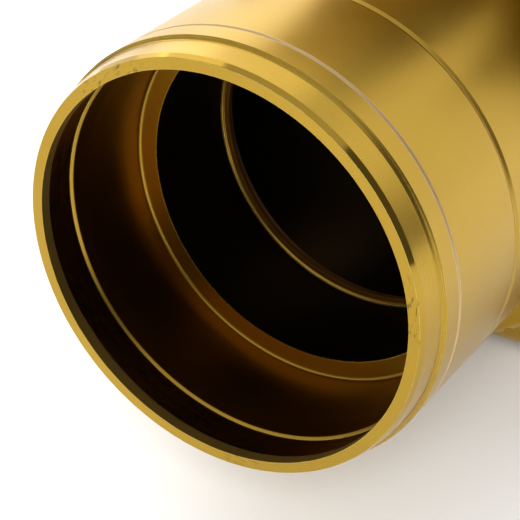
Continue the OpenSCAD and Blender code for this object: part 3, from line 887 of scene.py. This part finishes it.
def open_strip(name, grid, marks):
    """A grid that is closed along its rows only, with a face over each of its two ends."""
    rows, columns = grid.shape[:2]
    i = np.arange(rows * columns).reshape(rows, columns)
    up = np.roll(i, -1, 0)
    quads = np.stack([i[:, :-1], i[:, 1:], up[:, 1:], up[:, :-1]], -1).reshape(-1, 4)
    faces = [*map(tuple, quads.tolist()), tuple(i[:, 0].tolist()), tuple(i[:, -1].tolist())]
    mesh = bpy.data.meshes.new(name)
    mesh.from_pydata(grid.reshape(-1, 3).tolist(), [], faces)
    edge = mesh.attributes.new("edge", "FLOAT", "POINT")
    edge.data.foreach_set("value", np.repeat(marks, columns).astype(np.float32))
    close_up(mesh)
    return mesh


def brass_finish():
    """Rolled brass strip: streaks run round with it, and handling has left faint dull clouds."""
    r = Recipe("brass_strip")
    _, _, rings = r.turned_places(UP_SOCKET)
    streaks = r.noise(rings, 4200, 3, 0.6)
    clouds = r.noise(r.here, 140, 4, 0.6)
    colour = r.mix(r.between(clouds, 0.35, 0.65), (0.58, 0.39, 0.13), (0.72, 0.52, 0.20))
    colour = r.mix(r.times(r.worn(), 0.5), colour, (0.86, 0.68, 0.34))
    roughness = r.plus(r.between(clouds, 0.3, 0.7, 0.30, 0.36),
                       r.between(streaks, 0.3, 0.7, 0.0, 0.03))
    return r.metal(colour, roughness, clouds, 0.003 * mm, 0.3)


adopt("clamping_ring_bent", open_strip("clamping_ring_bent", strip, strip_marks), "clamp_ring",
      brass_finish())

# %% [markdown]
# ## Screws
# Every screw is turned too, with a hexagon socket in its head: the rows inside the socket follow a
# hexagon's outline instead of a circle. Along a hexagon the radius is the half width across flats
# over the cosine of the angle from the middle of the nearest flat.

# %% Screws with hexagon sockets


def hexagon(angles):
    """Radius of a hexagon whose corners are at 1, for each angle."""
    return np.cos(np.pi / 6) / np.cos(angles % (np.pi / 3) - np.pi / 6)


def socket_screw(outline, hex_r, hex_depth, axis):
    """A pole at the socket's floor, its six-sided wall with a small countersink, then the outline
    of the outside, from the head's face down to a pole at the tip."""
    sink_l, sink_w = 0.18 * mm, 0.13 * mm
    inside = np.array([[-hex_depth, 0], [-hex_depth, 0.7 * hex_r], [-hex_depth, hex_r],
                       [-sink_l, hex_r], [0, hex_r + sink_w]])
    points = np.concatenate([inside, outline])
    angles = evenly(48)
    six_sided = np.zeros((len(points), 1))
    six_sided[2:4] = 1
    radius = points[:, 1:] * np.where(six_sided > 0, hexagon(angles), 1)
    grid = stand(points[:, :1], radius * np.cos(angles), radius * np.sin(angles), axis)
    marks = np.zeros(len(points))
    marks[4:6] = 1
    return grid, marks


def cap_outline(length):
    """M3 cap screw: a head 5.5 mm across and 3 mm high with rounded edges, and its thread."""
    return np.array([[0, 2.45], [-0.04, 2.62], [-0.13, 2.71], [-0.28, 2.75], [-2.9, 2.75], [-3, 2.65],
                     [-3, 1.5], [0.3 - length, 1.5], [-length, 1.2], [-length, 0]]) * mm


def countersunk_outline(length):
    """M2.5 countersunk screw: a head 4.6 mm across with a 45 degree cone, and its thread."""
    return np.array([[0, 2.16], [-0.03, 2.24], [-0.12, 2.2], [-1.05, 1.25], [0.3 - length, 1.25],
                     [-length, 1.0], [-length, 0]]) * mm


def grub_outline(length, radius):
    """A headless screw with a chamfer at both ends."""
    return np.array([[0, radius - 0.25], [-0.25, radius], [0.25 - length, radius],
                     [-length, radius - 0.25], [-length, 0]]) * mm


def screws(node, directions, outline_of, hex_r, hex_depth, material):
    """One piece with a screw in the place of each of the node's solids. Sizes are in mm."""
    found = []
    for points, outward in zip(solids(node), directions):
        axis, length = screw_axis(points, outward)
        found.append(socket_screw(outline_of(length / mm), hex_r * mm, hex_depth * mm, axis))
    piece(f"{node}_turned", node, [g for g, _ in found], [m for _, m in found], material, loop=False)


slope_out = unit(np.array([1.0, 0, -1.0]))
for node, axis in (("barrel_grub_screws", ALONG_BARREL), ("socket_grub_screws", UP_SOCKET)):
    screws(node, [radial(p, axis) for p in solids(node)], lambda length: grub_outline(length, 1.5),
           0.87, 1.5, black_steel)
screws("tray_set_screws", [slope_out] * 3, lambda length: grub_outline(length, 2.0), 1.15, 2.0,
       black_steel)
screws("back_plate_screws", [slope_out] * 4, cap_outline, 1.45, 1.6, bright_steel)
for hand, way in (("left", 1.0), ("right", -1.0)):
    screws(f"cover_screws_{hand}", [(0, way, 0)] * 4, countersunk_outline, 0.87, 1.0, bright_steel)

# %% [markdown]
# A clamp screw is a stud with a real thread and a knurled knob. The thread is the stud's surface with
# its radius cut by a wave that climbs one pitch in each turn, so it can be seen between the knob
# and the socket when the screw is backed out.

# %% Clamp screws and knobs
thread_pitch = 0.7 * mm
thread_depth = 0.43 * mm
stud_r = 2 * mm
knob_flutes = 30


def threaded_stud(axis, low, high, radius):
    """Row heights run up the stud, 14 to a pitch. Thread phase is height / pitch - angle / turn, and
    the radius falls by the depth times a clipped triangle wave of it. Both ends are chamfered."""
    angles = evenly(36)
    heights = np.linspace(low, high, int(14 * (high - low) / thread_pitch))[:, None]
    phase = (heights / thread_pitch - angles / (2 * np.pi)) % 1
    wave = np.clip(1.3 * np.abs(2 * phase - 1) - 0.15, 0, 1)
    r = radius - thread_depth * wave
    r = np.minimum(r, radius - 0.5 * mm + (heights - low))
    r = np.minimum(r, radius - 0.3 * mm + (high - heights))
    heights = np.concatenate([heights[:1], heights, heights[-1:]])
    r = np.concatenate([np.zeros_like(r[:1]), r, np.zeros_like(r[:1])])
    return stand(heights, r * np.cos(angles), r * np.sin(angles), axis)


def knob(axis, low, high, hole_r):
    """Outline from the middle of the outer end, over the grip and the collar, into the
    threaded hole. Flutes cut the grip only. Each corner becomes five points, and the two corners on
    the axis keep just the last or first two, which a pole then closes."""
    collar_l, collar_r, hole_l, knob_r = 2.2 * mm, 4.6 * mm, 8.75 * mm, 6.3 * mm
    outline, marks = rounded(
        [[high, 0], [high, knob_r - 0.9 * mm], [high - 0.9 * mm, knob_r],
         [low + collar_l + 0.5 * mm, knob_r], [low + collar_l, knob_r - 0.5 * mm],
         [low + collar_l, collar_r], [low + 0.3 * mm, collar_r], [low, collar_r - 0.3 * mm],
         [low, hole_r], [low + hole_l, hole_r], [low + hole_l, 0]],
        0.1 * mm, 2)
    keep = slice(3, -3)
    outline = np.concatenate([[[high, 0]], outline[keep], [[low + hole_l, 0]]])
    marks = np.concatenate([[0], marks[keep], [0]])

    def grip(height, radius, angle):
        floor = flute_radius(angle, knob_flutes, knob_r)
        on_grip = (height > low + collar_l - 1e-7) & (radius > collar_r + 1e-6)
        return np.where(on_grip, np.minimum(radius, floor), radius + 0 * angle)

    return turned(outline, axis, fluted_angles(knob_flutes), grip), marks


for n, axis in clamp_axes.items():
    stud_low, stud_high = spans(f"clamp_screw_{n}", axis)[:2]
    knob_low, knob_high = spans(f"clamp_knob_{n}", axis)[:2]
    stud = threaded_stud(axis, stud_low, stud_high, stud_r)
    piece(f"clamp_stud_{n}", f"clamp_screw_{n}", [stud], [np.zeros(len(stud))], bright_steel, loop=False)
    grip, grip_marks = knob(axis, knob_low, knob_high, clamp_hole_r)
    piece(f"knurled_knob_{n}", f"clamp_knob_{n}", [grip], [grip_marks], black_anodised, loop=False)

# %% [markdown]
# ## The block and its flat pieces
# The block, its side covers and the back plate were milled, and a cutter leaves sharp edges that are
# then broken by hand. Their machined shapes are right, so each piece is a merged copy of its node.
# Only the edges in its outer faces are rounded, because those are the ones that are seen and felt.

# %% Copies with rounded outer edges


def edges_broken(name, node, faces_at, width, material):
    """A merged copy of a node. faces_at lists planes as a direction and a distance. Each sharp edge
    that lies in one of them gets a round of that width, which is marked for wear."""
    work = bmesh.new()
    work.from_mesh(frame["nodes"][node].data)
    bmesh.ops.remove_doubles(work, verts=work.verts, dist=1e-7)
    bmesh.ops.dissolve_limit(work, angle_limit=np.radians(0.4), verts=work.verts, edges=work.edges)
    for layer in list(work.loops.layers.uv.values()):
        work.loops.layers.uv.remove(layer)
    mark = work.faces.layers.float.new("edge")

    def in_a_face(e):
        return any(all(abs(v.co.dot(Vector(way)) - far) < 0.01 * mm for v in e.verts)
                   for way, far in faces_at)

    sharp = [e for e in work.edges
             if e.is_manifold and e.calc_face_angle(0) > np.radians(30) and in_a_face(e)]
    made = bmesh.ops.bevel(work, geom=sharp, offset=width, offset_type="OFFSET", segments=3,
                           profile=0.5, affect="EDGES", clamp_overlap=True)
    for face in made["faces"]:
        face[mark] = 1.0
    bmesh.ops.recalc_face_normals(work, faces=work.faces)
    mesh = bpy.data.meshes.new(name)
    work.to_mesh(mesh)
    work.free()
    mesh.shade_smooth()
    mesh.set_sharp_from_angle(angle=np.radians(35))
    shade_evenly(adopt(name, mesh, node, material))


def box_faces(node, axes="xyz"):
    """The planes of a node's box, on the named axes."""
    low, high = (Vector(c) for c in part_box(node))
    found = []
    for k, axis in enumerate("xyz"):
        if axis in axes:
            way = Vector((k == 0, k == 1, k == 2))
            found += [(way, high[k]), (-way, -low[k])]
    return found


def slope_face(node, way=slope_out):
    """The plane of a node's farthest face towards the slope's back."""
    return [(Vector(way), float((places(node) @ way).max()))]


# %% [markdown]
# Milled and bead-blasted gold has no rings: its grain is the same in all directions. The light path
# through the block is blackened. It is known by its distance from the two axes, and it ends where the
# block's outer faces are.

# %% Gold of the block
block_low, block_high = (np.array(c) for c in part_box("block"))


def block_finish():
    """Satin gold with a fine even grain, worn on its edges, and black in the two bores."""
    r = Recipe("gold_block")
    barrel_along, barrel_radius, _ = r.turned_places(ALONG_BARREL)
    socket_along, socket_radius, _ = r.turned_places(UP_SOCKET)
    grain = r.noise(r.here, 2400, 3, 0.6)
    colour, roughness, _ = r.dyed_gold(r.here, 0.33)
    colour = r.mix(r.between(grain, 0.3, 0.75, 0.0, 0.14), colour, PALE_GOLD)

    def within(radius, reach, along, low, high):
        soft = 0.1 * mm
        past = r.times(r.above(along, low, soft), r.below(along, high - soft, soft))
        return r.times(r.below(radius, reach, soft), past)

    bore = r.math("MAXIMUM",
                  within(barrel_radius, barrel_bore_r + 0.1 * mm, barrel_along,
                         block_low[0] + 0.02 * mm, block_high[0] - 0.5 * mm),
                  within(socket_radius, neck_r + 0.1 * mm, socket_along,
                         block_low[2] + 0.5 * mm, block_high[2] - 0.02 * mm))
    colour = r.mix(bore, colour, BORE_BLACK)
    roughness = r.plus(roughness, r.times(bore, 0.2))
    return r.metal(colour, roughness, grain, 0.004 * mm, 0.5)


for node, faces_at, width, material in (
        ("block", box_faces("block") + slope_face("block"), 0.35 * mm, block_finish()),
        ("side_cover_left", box_faces("side_cover_left", "y"), 0.2 * mm, black_anodised),
        ("side_cover_right", box_faces("side_cover_right", "y"), 0.2 * mm, black_anodised),
        ("back_plate", slope_face("back_plate"), 0.4 * mm, black_anodised),
        ("mirror_tray", slope_face("mirror_tray"), 0.25 * mm, bare_aluminium)):
    edges_broken(f"{node}_milled", node, faces_at, width, material)

# %% [markdown]
# The mirror is a plate of glass. Its front has a thin bright metal coating, and its sides and back
# are ground and greyish. The finish tells them apart by the distance from the mirror's plane.

# %% Mirror
mirror_face = float((places("mirror_glass") @ -slope_out).max())


def mirror_finish():
    """Bright coating on the front face, ground glass elsewhere."""
    r = Recipe("silvered_glass")
    ahead = r.add("ShaderNodeVectorMath", operation="DOT_PRODUCT")
    r.join(r.here, ahead.inputs[0])
    ahead.inputs[1].default_value = tuple(-slope_out)
    front = r.above(ahead.outputs["Value"], mirror_face - 0.03 * mm, 0.02 * mm)
    dust = r.noise(r.here, 1800, 4, 0.7)
    haze = r.between(r.noise(r.here, 60, 3, 0.6), 0.3, 0.7, 0.02, 0.05)
    ground = r.mix(r.between(dust, 0.3, 0.7), (0.42, 0.47, 0.45), (0.55, 0.60, 0.58))
    colour = r.mix(front, ground, (0.90, 0.91, 0.92))
    roughness = r.plus(haze, r.times(r.math("SUBTRACT", 1.0, front), 0.5))
    return r.set(Base_Color=colour, Metallic=front, Roughness=roughness,
                 Normal=r.bump(dust, 0.0004 * mm, 0.2))


edges_broken("mirror_plate", "mirror_glass",
             slope_face("mirror_glass", -slope_out) + slope_face("mirror_glass")
             + box_faces("mirror_glass", "y"), 0.3 * mm, mirror_finish())

# %% [markdown]
# The neck is a plain threaded tube, the gasket a die-cut rubber frame, and the pads are silicone
# discs pressed flat. Their machined shapes are already what they are, so they keep them and only take
# their finishes.

# %% Finishes on machined nodes
rubber = plain_metal("gasket_rubber", (0.018, 0.018, 0.018), (0.032, 0.031, 0.030), 0.62, metallic=0.0,
                     grain=1100, depth=0.01)
silicone = plain_metal("silicone", (0.55, 0.55, 0.52), (0.70, 0.70, 0.67), 0.38, metallic=0.0)
neck_gold = bored_gold("gold_socket_neck", UP_SOCKET, 0.30,
                       spans("socket_neck", UP_SOCKET)[2] + 0.1 * mm, 0.1 * mm, BORE_BLACK)
for node, finish in (("socket_neck", neck_gold), ("mirror_gasket", rubber), ("mirror_pads", silicone)):
    carried = frame["nodes"][node].data
    carried.materials.clear()
    carried.materials.append(finish)

# %% [markdown]
# ## Setting
# A plain pale floor, soft light from large panels, and a camera close to the barrel's mouth. Two of
# the wide suns don't show in polished pieces: they keep the floor white without a glare on the metal.

# %% Floor, light and camera
floor_z = cad_box[0][2]
half_floor = 3.0
room_light = 0.14
floor_mesh = bpy.data.meshes.new("floor")
floor_mesh.from_pydata([(a * half_floor, b * half_floor, floor_z)
                        for a, b in ((-1, -1), (1, -1), (1, 1), (-1, 1))], [], [(0, 1, 2, 3)])
floor = in_scene("floor", floor_mesh)
floor_paint = Recipe("floor_paint")
floor_mesh.materials.append(floor_paint.set(Base_Color=(0.9, 0.9, 0.9, 1), Roughness=0.8))

world = bpy.data.worlds.new("studio")
bpy.context.scene.world = world
world.use_nodes = True
world.node_tree.nodes["Background"].inputs["Color"].default_value = (1, 1, 1, 1)
world.node_tree.nodes["Background"].inputs["Strength"].default_value = room_light


def softbox(name, direction, distance, size, brightness):
    """A square area light that faces the object. Its power is brightness * pi * area."""
    lamp = bpy.data.lights.new(name, "AREA")
    lamp.shape, lamp.size, lamp.energy = "SQUARE", size, brightness * np.pi * size**2
    made = in_scene(name, lamp)
    made.location = Vector(direction).normalized() * distance
    made.rotation_euler = made.location.to_track_quat("Z", "Y").to_euler()
    made.visible_camera = False


def sky(name, direction, strength, spread, on_metal):
    """A very wide sun, as soft as a white ceiling. on_metal says whether polished pieces mirror it."""
    lamp = bpy.data.lights.new(name, "SUN")
    lamp.energy, lamp.angle = strength, np.radians(spread)
    made = in_scene(name, lamp)
    made.rotation_euler = Vector(direction).to_track_quat("Z", "Y").to_euler()
    made.visible_glossy = on_metal


sky("ceiling", (-0.20, 0.35, 0.92), 1.35, 120, True)
sky("floor_light_front", (-0.68, -0.46, 0.50), 2.9, 40, False)
sky("floor_light_back", (0.50, 0.50, 0.70), 0.9, 50, False)
softbox("far_softbox", (0.80, -0.32, 0.36), 1.1, 1.2, 1.25)
softbox("high_softbox", (0.66, 0.46, 0.60), 0.9, 0.9, 1.1)
softbox("left_softbox", (0.60, 0.80, 0.20), 0.9, 0.8, 1.2)

view_in = np.array([0.7206, 0.4561, -0.5222])
view_right = np.array([0.5348, -0.8450, 0.0])
view_up = np.cross(view_right, view_in)
aside, above, away = 0.208, 0.069, 7.769
from_mouth_r = aside * view_right + above * view_up - away * view_in
camera = in_scene("camera", bpy.data.cameras.new("camera"))
camera.location = np.array([mouth_x, 0, 0]) + mouth_r * from_mouth_r
camera.rotation_euler = Vector(view_in).to_track_quat("-Z", "Y").to_euler()
camera.data.lens = 117.7
camera.data.clip_start = 0.01
bpy.context.scene.camera = camera
bpy.context.scene.view_settings.view_transform = "Standard"
